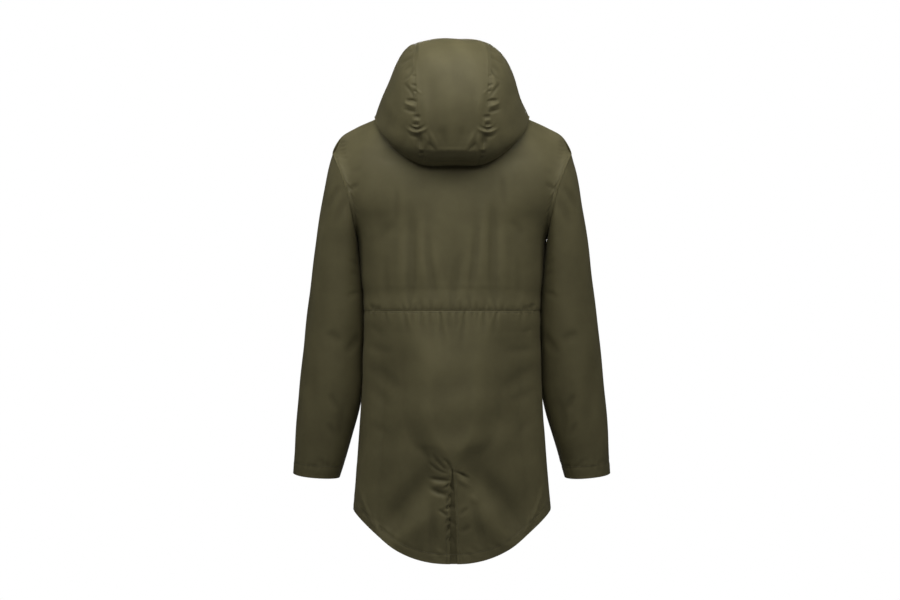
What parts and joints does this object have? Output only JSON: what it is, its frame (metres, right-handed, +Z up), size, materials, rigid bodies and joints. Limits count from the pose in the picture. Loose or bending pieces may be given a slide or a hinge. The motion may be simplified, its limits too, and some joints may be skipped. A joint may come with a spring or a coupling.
{
  "type": "hooded parka",
  "caption": "Olive hooded parka with a waist seam, gathered back, fishtail hem with a centre vent, and a zipped front, filled out as worn.",
  "frame": {"origin": "between the shoulders, level with the points where the shoulder seams meet the neck, where a wearer holds it up", "axes": "+Z up, the wearer faces -Y so the back of the garment is on +Y, +X is the wearer's left"},
  "size_m": [0.622, 0.3078, 1.0092],
  "materials": {
    "shell": "matt plain weave, olive",
    "zip_tape": "woven tape, dark olive",
    "zip_chain": "dull antique metal teeth",
    "zip_metal": "dull antique metal"
  },
  "bodies": {
    "root": {"back_upper": "shell", "back_lower": "shell", "vent_underlap": "shell", "front_left": "shell", "front_right": "shell", "sleeve_left": "shell", "sleeve_right": "shell", "hood_centre": "shell", "hood_left": "shell", "hood_right": "shell", "zip_tape_left": "zip_tape", "zip_tape_right": "zip_tape", "zip_chain": "zip_chain", "zip_slider": "zip_metal"},
    "pull": {"zip_pull": "zip_metal"}
  },
  "joints": [
    {"name": "pull_hinge", "type": "hinge", "parent": "root", "child": "pull", "pos_m": [0, -0.09595, -0.05246], "axis": [-1, 0, 0], "range_deg": [0, 120]}
  ]
}
